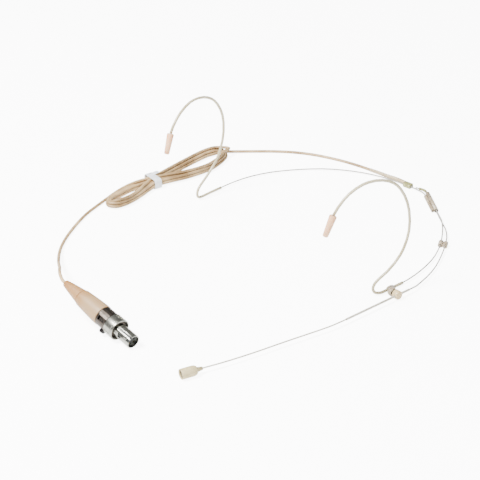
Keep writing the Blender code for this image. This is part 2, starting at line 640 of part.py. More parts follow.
def make_boom_clip():
    """The clip on the left wire, its pivot pin, the washer and the round boom holder."""
    outer = Vector((1, 0, 0))
    pivot = boom_pivot()
    bore_side = BOOM_R + RUNNING + KNOB_FACE_WALL
    knob_inner = pivot.x + bore_side - KNOB_LENGTH
    disc_outer = knob_inner - WASHER_THICKNESS - 2 * GAP
    band = band_points("left", LEFT_BAND)
    wire = band[1]
    y, z = Vector((0, 1, 0)), Vector((0, 0, 1))

    def section(x, middle_y, middle_z, wide, high):
        middle = Vector((x, middle_y, middle_z))
        return [
            middle + y * (wide * cos(turn)) + z * (high * sin(turn))
            for turn in (2 * pi * number / 20 for number in range(20))
        ]

    half = CLIP_LENGTH / 2
    near_wire = wire.x - SLEEVE_R - 0.8
    middle_y = wire.y
    wire_way = (band[2] - band[0]).normalized()
    clip = lofted(
        "boom_clip",
        [
            section(near_wire, middle_y, wire.z, half * 0.8, 0.75),
            section(near_wire + 0.5, middle_y, wire.z, half, 1.2),
            section(wire.x + 1.2, middle_y - 0.2, wire.z + 0.35, half * 1.02, 1.55),
            section(wire.x + 2.8, KNOB_Y + 1.0, KNOB_Z - 0.45, half, 1.9),
            section(disc_outer - CLIP_DISC, KNOB_Y, KNOB_Z, KNOB_R - 0.05, KNOB_R - 0.1),
            section(disc_outer, KNOB_Y, KNOB_Z, KNOB_R, KNOB_R - 0.1),
        ],
        CLIP,
    )
    wire_bore = SLEEVE_R + RUNNING * 2
    cut(clip, rod("clip_wire_bore", wire - wire_way * 6, wire + wire_way * 6, wire_bore))
    slot_wide, slot_high = CLIP_SLOT
    slot_long = CLIP_SLOT_END + KNOB_R + 3
    slot_middle = (wire.x + 2.5, KNOB_Y + CLIP_SLOT_END - slot_long / 2, wire.z + 0.45)
    slot_at = Matrix.Translation(metres(slot_middle))
    cut(clip, block("clip_slot", (slot_wide, slot_long, slot_high), slot_at))
    pin_start = Vector((disc_outer - PIN_IN_CLIP, KNOB_Y, KNOB_Z))
    pin_end = Vector((pivot.x - BOOM_R - RUNNING - GAP, KNOB_Y, KNOB_Z))
    clearance = PIN_R + RUNNING
    hole_end = disc_outer + 1
    cut(clip, rod("clip_pin_bore", pin_start - outer * GAP, (hole_end, KNOB_Y, KNOB_Z), clearance))
    turn = towards(outer)
    pin_length = (pin_end - pin_start).length
    pin = [(0, 0), (PIN_R, 0), (PIN_R, pin_length), (0, pin_length)]
    turned("pivot_pin", pin, METAL, Matrix.Translation(metres(pin_start)) @ turn, sides=16)
    washer = [
        (clearance, 0), (KNOB_R - 0.4, 0), (KNOB_R - 0.4, WASHER_THICKNESS),
        (clearance, WASHER_THICKNESS),
    ]
    washer_at = Matrix.Translation(metres((disc_outer + GAP, KNOB_Y, KNOB_Z))) @ turn
    turned("friction_washer", washer, BLACK, washer_at, sides=16, hollow=True)
    edge = 0.45
    knob = [
        (0, 0), (KNOB_R - 0.2, 0), (KNOB_R, 0.2), (KNOB_R, KNOB_LENGTH - edge),
        (KNOB_R - edge * 0.3, KNOB_LENGTH - edge * 0.3), (KNOB_R - edge, KNOB_LENGTH),
        (0, KNOB_LENGTH),
    ]
    knob_at = Matrix.Translation(metres((knob_inner, KNOB_Y, KNOB_Z))) @ turn
    holder = turned("boom_knob", knob, CREAM, knob_at, sides=24)
    reach = Vector((0, KNOB_R + 2, 0))
    cut(holder, rod("knob_boom_bore", pivot - reach, pivot + reach, BOOM_R + RUNNING))
    start = (knob_inner - 1, KNOB_Y, KNOB_Z)
    cut(holder, rod("knob_pin_bore", start, pin_end + outer * 0.1, clearance))


def make_boom():
    """The boom's thick and thin tubes."""
    y = Vector((0, 1, 0))
    pivot = boom_pivot()
    thick = [pivot + y * BOOM_REAR, pivot - y * BOOM_FRONT]
    tube("boom_tube", thick, BOOM_R, STEEL, bore=BOOM_R - BOOM_WALL, sides=12)
    step = pivot - y * BOOM_FRONT
    forward = Vector((*CAPSULE_FRONT_DIRECTION, 0)).normalized()
    rear = capsule_frame().to_translation() * 1000
    ends = [rear - forward * CAPSULE_NECK, rear]
    straight = [step + y * BOOM_OVERLAP, step]
    middle = [step - Vector((inward, along, 0)) for inward, along in BOOM_ROUTE]
    thin = smooth_curve([*straight, *middle, *ends])
    bore = BOOM_THIN_R - BOOM_THIN_WALL
    tube("boom_thin_tube", thinned(thin, turn=3), BOOM_THIN_R, STEEL, bore=bore)


def make_capsule():
    """The capsule's shell and what it holds, on the capsule's own axis."""
    axis = capsule_frame()
    inner = CAPSULE_R - CAPSULE_WALL
    passage = BOOM_THIN_R + RUNNING
    shoulder = 2.2
    arc = []
    for turn in (0, 30, 60, 90):
        radius = 1.3 + (CAPSULE_R - 1.3) * sin(radians(turn))
        arc.append((radius, shoulder * (1 - cos(radians(turn)))))
    outline = [
        (passage, -CAPSULE_NECK), (0.85, -CAPSULE_NECK), *arc,
        (CAPSULE_R, CAPSULE_LENGTH - 0.25), (CAPSULE_R - 0.12, CAPSULE_LENGTH),
        (inner, CAPSULE_LENGTH), (inner, shoulder), (passage, shoulder - 0.7),
    ]
    turned("capsule_housing", outline, CAPSULE, axis, sides=24, hollow=True)
    loose = inner - RUNNING
    grille = CAPSULE_LENGTH - GRILLE_DEPTH
    turned(
        "capsule_grille",
        [(0, grille - 0.3), (loose, grille - 0.3), (loose, grille), (0, grille)],
        METAL, axis, sides=24,
    )
    front = grille - 0.3 - GAP
    back = front - ELECTRET_LENGTH
    can = [(0, back), (loose, back), (loose, front - 0.3), (loose - 0.3, front), (0, front)]
    turned("electret_capsule", can, METAL, axis, sides=20)
    board = [(0, back - GAP - 0.4), (loose - 0.2, back - GAP - 0.4)]
    board += [(loose - 0.2, back - GAP), (0, back - GAP)]
    turned("capsule_board", board, GREEN, axis, sides=16)


def make_cord():
    """The strain relief at the nape, the two free stretches of cord and the hank between them."""
    beside_wire = Vector((-NAPE_CLIP[0] / 2 - GAP - 0.1, 0.75, 1.4))
    relief = smooth_curve([Vector((*NAPE_CLIP_AT, 0)) + beside_wire, *RELIEF_ROUTE, RELIEF_END])
    path = even(relief, 3.0)
    thick, thin = RELIEF_R
    radii = [thick + (thin - thick) * number / (len(path) - 1) for number in range(len(path))]
    tube("cord_relief", path, radii, SLEEVE)
    away = (Vector(RELIEF_END) - Vector(RELIEF_ROUTE[-1])).normalized()
    start = Vector(RELIEF_END) + away * GAP
    cord("cord_lead_in", even(smooth_curve([start, *CORD_IN, CORD_IN_END]), 4.5), CORD_R, CORD)
    closed = smooth_curve([(x, y, 0) for x, y in [*HANK_OUTLINE, HANK_OUTLINE[0]]], steps=3)
    outline = [(point.x, point.y) for point in closed[:-1]]
    extruded("cord_hank", outline, HANK_LOW, HANK_LOW + HANK_HEIGHT, CORD)
    plug_end = [plug_point(0, 0, -5.0), plug_point(0, 0, -GAP)]
    route = smooth_curve([CORD_OUT_START, *CORD_OUT, *plug_end])
    cord("cord_lead_out", even(route, 5.0), CORD_R, CORD)


def make_tie():
    """A flat strap closed round the hank's waist."""
    wide = HANK_WAIST / 2 + GAP
    high = HANK_LOW + HANK_HEIGHT + GAP
    low = HANK_LOW - GAP
    place = Matrix.Translation(metres((*TIE_AT, 0))) @ Matrix.Rotation(radians(TIE_ANGLE), 4, "Z")
    turn = place @ Matrix.Rotation(radians(90), 4, "X")
    inner = [(-wide, low), (wide, low), (wide, high), (-wide, high)]
    edge = TIE_THICKNESS
    outer = [(-wide - edge, low - edge), (wide + edge, low - edge)]
    outer += [(wide + edge, high + edge), (-wide - edge, high + edge)]
    half = TIE_WIDTH / 2
    strap = extruded("cord_tie", outer, -half, half, TIE, turn)
    cut(strap, extruded("tie_inside", inner, -half - 1, half + 1, HELPER, turn))


# The plug's own frame: +Z from the cord towards the nose, +Y up and +X level
RING_START = CONE_LENGTH + HANDLE_LENGTH + BODY_LENGTH + 3 * GAP
RING_FRONT = RING_START + RING_LENGTH
PLUG_TILT = atan2(RING_R - NOSE_R, NOSE_LENGTH)   # the ring and the nose's tip both rest
TO_X = Matrix(((0, 0, 1), (1, 0, 0), (0, 1, 0))).to_4x4()   # turns +Z to +X, and +Y to +Z
PLUG_TURN = (
    Matrix.Rotation(radians(PLUG_HEADING), 4, "Z") @ Matrix.Rotation(PLUG_TILT, 4, "Y") @ TO_X
)


def plug_point(x, y, z):
    """Where a point of the plug's own frame is on the table."""
    ring = Vector((*PLUG_AT, RING_R * cos(PLUG_TILT)))
    return ring + PLUG_TURN.to_3x3() @ Vector((x, y, z - RING_FRONT))


PLUG = bpy.data.objects.new("plug_frame", None)
bpy.context.scene.collection.objects.link(PLUG)
PLUG.matrix_world = Matrix.Translation(metres(plug_point(0, 0, 0))) @ PLUG_TURN


def about_plug(angle, radius, height):
    """A frame on the plug at an angle round it: +Z outwards, +Y along the plug."""
    spin = Matrix.Rotation(radians(angle), 4, "Z")
    return spin @ Matrix.Translation(metres((radius, 0, height))) @ TO_X


def make_plug_shells():
    """Rubber cone, handle, metal body, inner sleeve, coupling ring and nose."""
    rear, front = CONE_R
    bore = CORD_R + RUNNING
    cone = [
        (bore, 0), (rear - 0.3, 0), (rear, 0.3), (front, CONE_LENGTH), (bore, CONE_LENGTH),
    ]
    turned("plug_strain_cone", cone, BOOT, parent=PLUG, hollow=True)
    start = CONE_LENGTH + GAP
    end = start + HANDLE_LENGTH
    rear, front = HANDLE_R
    wall = HANDLE_WALL
    handle = [
        (bore + 1.2, start), (rear - 0.3, start), (rear, start + 0.3), (front, end - 0.2),
        (front - 0.2, end), (front - wall, end), (rear - wall, start + 1.2), (bore + 1.2, start + 1.2),
    ]
    turned("plug_handle", handle, BOOT, parent=PLUG, hollow=True)
    low = end + GAP
    high = RING_START + RING_LENGTH - 1.0
    inner = BODY_R - BODY_WALL
    neck = RING_R - RING_WALL - RUNNING
    bore_end = RING_START - GAP - BODY_WALL
    body = [
        (inner, low), (BODY_R, low), (BODY_R, RING_START - GAP), (neck, RING_START - GAP),
        (neck, high), (NOSE_R + RUNNING, high), (NOSE_R + RUNNING, bore_end), (inner, bore_end),
    ]
    shell = turned("plug_body", body, METAL, parent=PLUG, hollow=True)
    slot = BODY_R - BODY_WALL / 2
    wide, long = SLOT
    middle = (low + RING_START) / 2
    along = about_plug(SLOT_ANGLE, slot, middle)
    cut(shell, block("slot_along", (wide, long, 2), along, PLUG))
    round_way = about_plug(SLOT_ANGLE - 8, slot, middle - long / 2 + wide / 2)
    cut(shell, block("slot_round", (SLOT_FOOT, wide, 2), round_way, PLUG))
    liner = BODY_R - BODY_WALL - RUNNING * 2
    inside = [
        (liner - 0.7, low + GAP), (liner, low + GAP), (liner, bore_end - GAP),
        (liner - 0.7, bore_end - GAP),
    ]
    lining = turned("plug_inner_sleeve", inside, BLACK, parent=PLUG, hollow=True)
    hole = about_plug(BUTTON_ANGLE, 0, BUTTON_AT) @ Matrix.Translation(metres((0, 0, 2)))
    clearance = BUTTON_R + RUNNING
    reach = [(0, 0), (clearance, 0), (clearance, 6), (0, 6)]
    for name, target in (("button_hole", shell), ("button_inner_hole", lining)):
        cut(target, turned(name, reach, HELPER, hole, PLUG, 16))
    ring = [
        (neck + RUNNING, RING_START), (RING_R - 0.3, RING_START), (RING_R, RING_START + 0.3),
        (RING_R, RING_FRONT), (RING_R - 1.1, RING_FRONT), (RING_R - 1.1, RING_FRONT - 0.4),
        (neck + RUNNING, RING_FRONT - 0.4),
    ]
    turned("plug_ring", ring, METAL, parent=PLUG, hollow=True, sides=32)
    tip = RING_FRONT + NOSE_LENGTH
    inner = NOSE_R - NOSE_WALL
    nose = [
        (inner, RING_START + 2), (NOSE_R, RING_START + 2), (NOSE_R, tip - 0.2),
        (NOSE_R - 0.15, tip), (inner, tip),
    ]
    barrel = turned("plug_nose", nose, METAL, parent=PLUG, hollow=True)
    window = about_plug(WINDOW_ANGLE, NOSE_R, RING_FRONT + WINDOW_AT)
    cut(barrel, block("nose_window", (WINDOW, WINDOW, 1.6), window, PLUG))
    groove = about_plug(GROOVE_ANGLE, NOSE_R, tip - 3.5)
    cut(barrel, block("nose_groove", (0.9, 9.0, 1.6), groove, PLUG))
    wide, deep = NOTCH
    notch = about_plug(NOTCH_ANGLE, NOSE_R, tip)
    cut(barrel, block("nose_notch", (wide, 2 * deep, 1.6), notch, PLUG))


def make_plug_inside():
    """The insert with its contacts, the cable clamp, and the latch's button and lever."""
    tip = RING_FRONT + NOSE_LENGTH
    low = RING_START + 2.5
    high = tip - 1.2
    radius = NOSE_R - NOSE_WALL - RUNNING
    body = [(0, low), (radius, low), (radius, high), (0, high)]
    insert = turned("plug_insert", body, GREEN, parent=PLUG)
    clearance = CONTACT_R + RUNNING
    for number in range(CONTACTS):
        angle = radians(45 + 360 * number / CONTACTS)
        x, y = CONTACT_CIRCLE_R * cos(angle), CONTACT_CIRCLE_R * sin(angle)
        place = Matrix.Translation(metres((x, y, 0)))
        hole = [(0, low - 1), (clearance, low - 1), (clearance, high + 1), (0, high + 1)]
        cut(insert, turned(f"contact_hole_{number + 1}", hole, HELPER, place, PLUG, 12))
        socket = [
            (0, low - 1.5), (CONTACT_R, low - 1.5), (CONTACT_R, high - 0.5), (0.28, high - 0.5),
            (0.28, high - 4), (0, high - 4),
        ]
        turned(f"socket_contact_{number + 1}", socket, GOLD, place, PLUG, 12)
    start = CONE_LENGTH + GAP + 2.2
    clamp = [
        (CORD_R + RUNNING, start), (3.0, start), (3.4, start + 6.5), (CORD_R + RUNNING, start + 6.5),
    ]
    turned("cable_clamp", clamp, METAL, parent=PLUG, hollow=True, sides=16)
    proud = BODY_R + BUTTON_PROUD
    foot = BODY_R - BODY_WALL - 1.5
    button = [
        (0, foot), (BUTTON_R, foot), (BUTTON_R, proud - 0.7), (BUTTON_R * 0.8, proud - 0.2),
        (BUTTON_R * 0.4, proud), (0, proud),
    ]
    on_button = about_plug(BUTTON_ANGLE, 0, BUTTON_AT)
    turned("latch_button", button, BLACK, on_button, PLUG, 20)
    strip = on_button @ Matrix.Translation(metres((0, -0.6, foot - GAP - 0.2)))
    wide, long = LEVER
    outline = [(-wide / 2, -long / 2), (wide / 2, -long / 2)]
    outline += [(wide / 2, long / 2), (-wide / 2, long / 2)]
    extruded("latch_lever", outline, -0.2, 0.2, METAL, strip, PLUG)


def hang_on(name, place, pieces):
    """Parents pieces to an empty on the axis that they move along or about, where they are."""
    joint = bpy.data.objects.new(name, None)
    bpy.context.scene.collection.objects.link(joint)
    joint.matrix_world = Matrix.Translation(metres(place))
    for piece in pieces:
        bpy.data.objects[piece].parent = joint
        bpy.data.objects[piece].matrix_parent_inverse = joint.matrix_world.inverted()


make_side("left")
make_side("right")
make_adjuster()
make_nape_clip()
make_cable_clip()
make_lead()
make_boom_clip()
make_boom()
make_capsule()
make_plug_shells()
make_plug_inside()
make_cord()
make_tie()
hang_on("adjuster_slide", ADJUSTER, ["adjuster_sleeve"])
hang_on(
    "left_frame_slide", LEFT_AXIS,
    ["left_wire", "left_ear_sleeve", "left_ear_tip", "cable_clip", "boom_clip", "boom_cable_front"],
)
hang_on(
    "boom_pivot", boom_pivot(),
    ["boom_knob", "pivot_pin", "friction_washer", "boom_tube", "boom_thin_tube",
     "capsule_housing", "capsule_grille", "electret_capsule", "capsule_board"],
)
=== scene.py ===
# %% [markdown]
# # A headset microphone on a table
# This notebook dresses a finished mechanical model: two wire ear hooks joined at the nape, a
# boom with a tiny capsule, and a cord folded into a hank that ends in a latching plug.
# Everything soft, and everything with detail too fine for the solids, is made here and rides
# on them.

# %% Load the mechanical frame
import json
from math import cos, pi, radians, sin

import bpy
from mathutils import Matrix, Vector

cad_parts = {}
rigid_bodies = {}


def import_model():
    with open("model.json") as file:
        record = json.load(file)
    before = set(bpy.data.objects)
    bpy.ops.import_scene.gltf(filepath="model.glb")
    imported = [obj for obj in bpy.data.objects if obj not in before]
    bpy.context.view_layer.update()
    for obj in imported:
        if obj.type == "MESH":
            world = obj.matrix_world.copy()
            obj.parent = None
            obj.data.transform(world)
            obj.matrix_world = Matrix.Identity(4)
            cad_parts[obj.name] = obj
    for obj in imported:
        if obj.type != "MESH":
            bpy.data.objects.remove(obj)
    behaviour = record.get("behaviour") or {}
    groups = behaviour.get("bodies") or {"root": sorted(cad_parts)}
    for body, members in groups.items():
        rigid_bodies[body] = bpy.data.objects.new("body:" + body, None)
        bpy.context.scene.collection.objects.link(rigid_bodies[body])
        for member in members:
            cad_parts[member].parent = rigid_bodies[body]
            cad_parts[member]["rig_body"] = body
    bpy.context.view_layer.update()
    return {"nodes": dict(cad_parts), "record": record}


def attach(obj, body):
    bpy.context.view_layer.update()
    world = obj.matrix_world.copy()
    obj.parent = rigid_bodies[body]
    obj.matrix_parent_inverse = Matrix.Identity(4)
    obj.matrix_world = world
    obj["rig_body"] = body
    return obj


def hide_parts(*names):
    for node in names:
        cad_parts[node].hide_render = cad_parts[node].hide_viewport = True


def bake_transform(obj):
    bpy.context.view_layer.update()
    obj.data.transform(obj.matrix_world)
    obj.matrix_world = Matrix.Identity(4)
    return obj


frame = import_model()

MM = 0.001
nodes = frame["nodes"]
print("pieces in the frame:", len(nodes))

# %% [markdown]
# ## The camera
# The headset is seen from its front left, from a little under thirty degrees above the table,
# through a long lens, so that near and far ear hooks look almost the same size. The camera
# aims a little to the left of the hooks, because the hank and the plug lie on that side. Its
# sides are worked out from the same upward direction, so that it doesn't lean.

# %% Camera
AZIMUTH, ELEVATION = radians(48.6), radians(28.5)
DISTANCE = 0.8
LENS = 109.5
MIDDLE = Vector((-0.0035, 0.010, 0.0))
AIM_LEFT, AIM_UP = 0.024, 0.002
outward = Vector((
    sin(AZIMUTH) * cos(ELEVATION), -cos(AZIMUTH) * cos(ELEVATION), sin(ELEVATION)
))
right = Vector((cos(AZIMUTH), sin(AZIMUTH), 0.0))
upward = outward.cross(right)
eye = MIDDLE + outward * DISTANCE
aim = MIDDLE - right * AIM_LEFT + upward * AIM_UP
back = (eye - aim).normalized()
side = upward.cross(back).normalized()
camera_data = bpy.data.cameras.new("camera")
camera = bpy.data.objects.new("camera", camera_data)
bpy.context.scene.collection.objects.link(camera)
turn = Matrix((side, back.cross(side), back)).transposed().to_4x4()
camera.matrix_world = Matrix.Translation(eye) @ turn
camera_data.lens = LENS
camera_data.clip_start = 0.01
bpy.context.scene.camera = camera
print("camera at", [round(value, 3) for value in camera.location])

# %% [markdown]
# ## Small helpers
# A colour is written as the sRGB hex value that a paint chart would give, and turned to the
# linear numbers that the renderer works in. One function adds a shader node, sets it up and
# wires it. Selecting is done in code, so each edit starts from a clean selection.

# %% Helpers for colours, nodes and selections
def linear(colour):
    """The linear colour of an sRGB hex value such as "#CBC0A0"."""
    channels = [int(colour[start:start + 2], 16) / 255 for start in (1, 3, 5)]
    bent = [c / 12.92 if c <= 0.04045 else ((c + 0.055) / 1.055) ** 2.4 for c in channels]
    return (*bent, 1.0)


def add_node(tree, kind, values=None, links=None, **settings):
    """Adds a node with its settings, its sockets' values and the sockets that feed it."""
    made = tree.nodes.new(kind)
    for name, value in settings.items():
        setattr(made, name, value)
    for socket, value in (values or {}).items():
        made.inputs[socket].default_value = value
    for socket, source in (links or {}).items():
        tree.links.new(source, made.inputs[socket])
    return made


def only(*objects):
    """Leaves object mode's selection with just these objects, the first one active."""
    if bpy.context.mode != "OBJECT":
        bpy.ops.object.mode_set(mode="OBJECT")
    bpy.ops.object.select_all(action="DESELECT")
    for item in objects:
        item.select_set(True)
    bpy.context.view_layer.objects.active = objects[0] if objects else None


only()

# %% [markdown]
# ## Smooth routes
# A cord never turns a corner, so its line is a smooth curve through a few chosen points. A
# centripetal Catmull-Rom curve passes through every point without looping near close ones.

# %% Smooth curve through points
def smooth(points, steps=10):
    """A dense curve through the points, with some steps between each two of them."""
    points = [Vector(point) for point in points]
    padded = [points[0] * 2 - points[1], *points, points[-1] * 2 - points[-2]]
    dense = []
    for a, b, c, d in zip(padded, padded[1:], padded[2:], padded[3:]):
        t1 = (b - a).length ** 0.5
        t2 = t1 + (c - b).length ** 0.5
        t3 = t2 + (d - c).length ** 0.5
        for step in range(steps):
            t = t1 + (t2 - t1) * step / steps
            ab, bc = a.lerp(b, t / t1), b.lerp(c, (t - t1) / (t2 - t1))
            abc = ab.lerp(bc, t / t2)
            cd = c.lerp(d, (t - t2) / (t3 - t2))
            dense.append(abc.lerp(bc.lerp(cd, (t - t1) / (t3 - t1)), (t - t1) / (t2 - t1)))
    dense.append(points[-1])
    return dense


def run_of(path):
    """How long a path is."""
    return sum((b - a).length for a, b in zip(path, path[1:]))


def even(path, spacing):
    """Points at an even spacing along a dense path, with both of its ends."""
    count = max(2, round(run_of(path) / spacing) + 1)
    step = run_of(path) / (count - 1)
    found, gone, want = [path[0].copy()], 0.0, step
    for a, b in zip(path, path[1:]):
        length = (b - a).length
        while gone + length >= want and len(found) < count - 1:
            found.append(a.lerp(b, (want - gone) / length))
            want += step
        gone += length
    return [*found, path[-1].copy()]


def round_curve(name, path, radius, sides=4, radii=None):
    """A round cord along a path in millimetres: a curve with a bevel, made into a mesh."""
    data = bpy.data.curves.new(name, "CURVE")
    data.dimensions = "3D"
    data.bevel_depth = radius * MM
    data.bevel_resolution = sides
    data.use_fill_caps = True
    spline = data.splines.new("POLY")
    spline.points.add(len(path) - 1)
    for number, (point, place) in enumerate(zip(spline.points, path)):
        point.co = (*(place * MM), 1.0)
        point.radius = radii[number] if radii else 1.0
    spline.use_smooth = True
    made = bpy.data.objects.new(name, data)
    bpy.context.scene.collection.objects.link(made)
    only(made)
    bpy.ops.object.convert(target="MESH")
    print(name, "has", len(made.data.polygons), "faces")
    return made

# %% [markdown]
# ## The cord
# The cord is one soft vinyl cable, 1.8 mm thick and about 1.3 metres long. It runs from the
# ribbed relief at the nape to the hank, goes to and fro in eleven runs, and leaves for the
# plug. At the tie the runs stack like logs in three layers. Away from the tie each run moves
# out to its own place in a loop, so nested loops stay beside each other. Sizes here are in
# millimetres, and a helper turns them to metres at the end.

# %% Cord sizes and the two free stretches
CORD_R = 0.9
CORD_STEP = 1.2
RELIEF_END = Vector((-37.4, 109.2, 1.1))
LEAD_IN = [
    (-37.7, 109.17, 1.1), (-45.4, 108.2, 0.96), (-55.4, 106.0, 0.96), (-66.0, 102.6, 0.96),
    (-76.6, 98.0, 0.96), (-86.4, 91.8, 0.96), (-95.2, 84.0, 0.96), (-103.0, 75.4, 0.96),
    (-109.6, 67.0, 1.2), (-114.4, 60.0, 1.6),
]
# The last run leaves on the loops' outer side and comes down to the table before it goes.
LEAD_OUT = [
    (-111.0, -9.0, 5.0), (-112.4, -16.0, 4.0), (-112.6, -24.0, 2.4), (-111.2, -32.0, 1.1),
    (-108.9, -38.2, 0.96), (-106.6, -44.0, 0.96), (-103.6, -51.0, 0.96), (-99.4, -58.6, 0.96),
    (-93.6, -67.6, 0.96), (-86.4, -77.4, 0.96), (-79.2, -85.2, 1.3), (-70.6, -92.2, 2.8),
    (-60.9, -98.8, 5.2), (-52.2, -104.0, 8.4), (-44.6, -108.4, 11.8), (-38.0, -112.6, 14.5),
    (-32.4, -115.9, 15.6),
]

# %% The hank's runs
LAYERS = (1.75, 3.35, 4.95)
# How far the outermost loop reaches from the tie, and how far it stands from the middle line.
NAPE_LOBE, NAPE_WIDEST = 59.2, 9.4
FAR_LOBE, FAR_WIDEST = -37.4, 6.5
# The bend between the two runs of the top layer stands out past its place in the lobe.
HIGH_TURN, HIGH_BULGE, BULGE_ACROSS = 4, 2.6, 1.4
# The hank starts at its second point, and the last run's far end isn't used.
FIRST_POINT, POINTS_CUT = 1, 5
# For each run: where it lies across the tie, across the nape-side lobe and across the other
# lobe, and its layer. Runs towards the plug lie on one side, runs back on the other.
OUT_RUNS = [
    (3.9, 9.4, 6.5, 0), (2.93, 8.3, 5.6, 1), (1.95, 7.4, 4.9, 0), (0.98, 6.3, 4.4, 1),
    (0.0, 5.2, 3.9, 0), (1.95, 7.6, 4.4, 2),
]
BACK_RUNS = [
    (3.9, 9.3, 6.4, 0), (2.93, 8.6, 5.5, 1), (1.95, 7.0, 4.7, 0), (0.98, 6.9, 4.2, 1),
    (0.0, 8.0, 4.9, 2),
]
SPINE = [
    (-40, -101.6), (-36, -102.2), (-30, -102.9), (-22.5, -104.1), (-11, -106.9), (0, -108.5),
    (10, -108.6), (20, -108.6), (30, -108.9), (38, -110.2), (48, -112.6), (62, -115.4),
]


def spine(y):
    """The middle line's place across the hank, at a distance along it."""
    for (y0, x0), (y1, x1) in zip(SPINE, SPINE[1:]):
        if y <= y1:
            return x0 + (x1 - x0) * (y - y0) / (y1 - y0)
    return SPINE[-1][1]


def lobe_end(width, widest, far):
    """How far a loop reaches: the widest one goes furthest."""
    towards = 1 if far > 0 else -1
    return far - (widest - width) * towards


def run_points(run, side):
    """One run from the nape-side lobe to the other, without the bends at its two ends."""
    tie, near, away, layer = run
    top = lobe_end(near, NAPE_WIDEST, NAPE_LOBE)
    low = lobe_end(away, FAR_WIDEST, FAR_LOBE)
    height = LAYERS[layer]
    stations = [
        (top - 3.0, near * 0.55), (top - 8.0, near * 0.82), (top - 14.5, near * 0.97),
        (top - 23.0, near), (20.0, tie + (near - tie) * 0.66), (10.0, tie + (near - tie) * 0.26),
        (2.4, tie), (-2.4, tie), (-8.0, tie + (away - tie) * 0.34),
        (-15.5, tie + (away - tie) * 0.84), (-23.0, away), (low + 7.0, away * 0.94),
        (low + 2.6, away * 0.7),
    ]
    return [(spine(y) + side * across, y, height) for y, across in stations]


def turn_point(first, second, place, far, widest, bulge=0.0):
    """The middle of the bend that joins two runs."""
    width = (first[place] + second[place]) / 2
    y = lobe_end(width, widest, far) + bulge
    height = (LAYERS[first[3]] + LAYERS[second[3]]) / 2
    return (spine(y) + bulge * BULGE_ACROSS, y, height)


hank = []
for number, out in enumerate(OUT_RUNS):
    hank += run_points(out, -1)
    if number == len(BACK_RUNS):
        break
    back_run = BACK_RUNS[number]
    hank.append(turn_point(out, back_run, 2, FAR_LOBE, FAR_WIDEST))
    hank += run_points(back_run, 1)[::-1]
    bulge = HIGH_BULGE if number == HIGH_TURN else 0.0
    hank.append(turn_point(back_run, OUT_RUNS[number + 1], 1, NAPE_LOBE, NAPE_WIDEST, bulge))
# The last run doesn't turn: past the tie it goes its own way.
hank = hank[FIRST_POINT:-POINTS_CUT]
PLUG_REAR = Vector((-25.197, -117.432, 14.219))
PLUG_WAY = Vector((0.979492, 0.046192, -0.196116))
arrival = [PLUG_REAR - PLUG_WAY * 2.4, PLUG_REAR - PLUG_WAY * 0.3]
cord_path = even(smooth([*LEAD_IN, *hank, *LEAD_OUT, *arrival]), CORD_STEP)
cord = round_curve("headset_cord", cord_path, CORD_R)
print("cord length in mm:", round(run_of(cord_path)))
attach(cord, "right_frame")
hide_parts("cord_lead_in", "cord_hank", "cord_lead_out")

# %% [markdown]
# ## The tie
# The hank is held by a strip of glossy white plastic, wrapped round its waist and twisted into
# a short tail. A cube is scaled to the loop's outside, its top and bottom are rounded with a
# bevel, the two open sides are removed, and Solidify gives the strip its thickness, as if the
# strip had been bent round the cord.

# %% Helpers for shaping and finishing a piece
def edit_faces(piece, wanted):
    """Edit mode on a piece, with just the faces that a rule accepts selected."""
    only(piece)
    bpy.ops.object.mode_set(mode="EDIT")
    bpy.ops.mesh.select_mode(type="FACE")
    bpy.ops.mesh.select_all(action="DESELECT")
    bpy.ops.object.mode_set(mode="OBJECT")
    for face in piece.data.polygons:
        face.select = wanted(face)
    bpy.ops.object.mode_set(mode="EDIT")


def finish_shape(piece, place=None, angle=35):
    """Applies the piece's place and its modifiers, and smooths all but its sharp edges."""
    only(piece)
    if place:
        piece.matrix_world = place @ piece.matrix_world
    bpy.ops.object.transform_apply(location=True, rotation=True, scale=True)
    for modifier in list(piece.modifiers):
        bpy.ops.object.modifier_apply(modifier=modifier.name)
    bpy.ops.object.shade_smooth_by_angle(angle=radians(angle))
    print(piece.name, "has", len(piece.data.polygons), "faces")


# %% The tie's strap
TIE_SIZE = (12.9, 4.6, 6.2)
TIE_ROUNDING, TIE_WALL, TIE_EDGE = 1.9, 0.45, 0.12
TIE_TURN = (
    Matrix.Translation(Vector((-108.5, -0.4, 3.3)) * MM)
    @ Matrix.Rotation(radians(-6), 4, "Z")
)
bpy.ops.mesh.primitive_cube_add(size=MM)
tie = bpy.context.object
tie.name = "hank_tie"
tie.scale = TIE_SIZE
bpy.ops.object.transform_apply(scale=True)
edit_faces(tie, lambda face: abs(face.normal.y) > 0.9)
bpy.ops.mesh.delete(type="ONLY_FACE")
bpy.ops.mesh.select_mode(type="EDGE")
bpy.ops.mesh.select_all(action="DESELECT")
bpy.ops.object.mode_set(mode="OBJECT")
for edge in tie.data.edges:
    ends = [tie.data.vertices[number].co for number in edge.vertices]
    edge.select = abs(ends[0].y - ends[1].y) > MM
bpy.ops.object.mode_set(mode="EDIT")
bpy.ops.mesh.bevel(offset=TIE_ROUNDING * MM, segments=6)
bpy.ops.object.mode_set(mode="OBJECT")
wall = tie.modifiers.new("strip", "SOLIDIFY")
wall.thickness = TIE_WALL * MM
wall.offset = -1
soften = tie.modifiers.new("edges", "BEVEL")
soften.width = TIE_EDGE * MM
soften.segments = 2
finish_shape(tie, TIE_TURN)

# %% [markdown]
# The tail is a thin strip that starts on the top of the strap. A small plane's far edge is
# extruded four times, each step turned a little more towards the table, and the strip gets
# its thickness and its softness from modifiers.

# %% The tie's tail
TAIL_SIZE = (3.4, 1.4, 1)
TAIL_WALL, TAIL_SIDEWAYS = 0.4, 0.12
